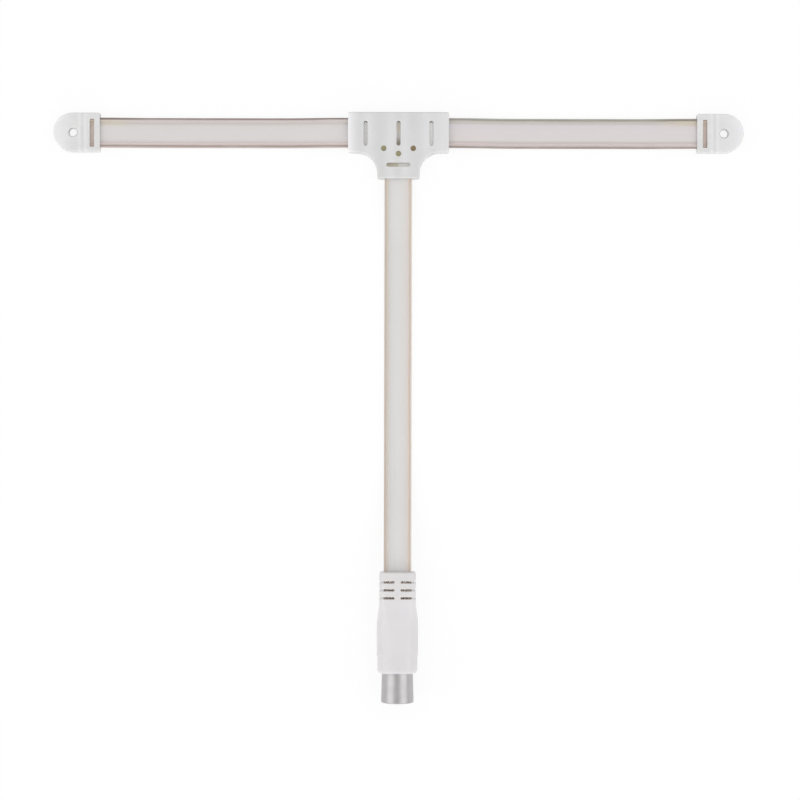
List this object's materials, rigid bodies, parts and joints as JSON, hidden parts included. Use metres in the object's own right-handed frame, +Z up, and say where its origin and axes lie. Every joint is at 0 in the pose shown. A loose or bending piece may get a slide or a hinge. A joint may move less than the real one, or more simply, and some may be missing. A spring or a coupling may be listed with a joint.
{
  "type": "fm indoor antenna",
  "caption": "Indoor T antenna for FM radio: folded dipole of flat twin cable with a moulded T junction, end caps with hanging holes and a lead to a moulded female coaxial coupling.",
  "frame": {"origin": "under the crossing of the arm cable and the lead, on the flat underside of the T junction, at the height of the surface that the antenna lies on", "axes": "+X along the right arm, +Y away from the lead, +Z up from the surface towards the viewer"},
  "size_m": [0.2294, 0.1953, 0.0116],
  "materials": {
    "white_moulding": "satin white flexible moulding",
    "cable_skin": "pale translucent extruded insulation",
    "copper_wire": "bare stranded copper",
    "solder": "dull tin solder",
    "nickel_sleeve": "satin nickel plate",
    "contact_brass": "bright brass",
    "insulator_white": "moulded polyethylene",
    "ferrite": "sintered dark ferrite",
    "enamel_red": "enamelled copper wire",
    "enamel_gold": "enamelled copper wire"
  },
  "bodies": {
    "root": {"t_housing": "white_moulding", "dipole_ribbon": "cable_skin", "upper_wire": "copper_wire", "lower_wire_left": "copper_wire", "lower_wire_right": "copper_wire", "feed_joint_left": "solder", "feed_joint_right": "solder", "end_cap_left": "white_moulding", "end_cap_right": "white_moulding", "end_link_left": "solder", "end_link_right": "solder", "lead_ribbon": "cable_skin", "lead_wire_left": "copper_wire", "lead_wire_right": "copper_wire", "plug_housing": "white_moulding", "plug_joint_left": "solder", "plug_joint_right": "solder", "balun_core": "ferrite", "primary_winding": "enamel_red", "secondary_winding": "enamel_gold", "insulator": "insulator_white", "centre_contact": "contact_brass", "outer_sleeve": "nickel_sleeve"}
  },
  "joints": []
}
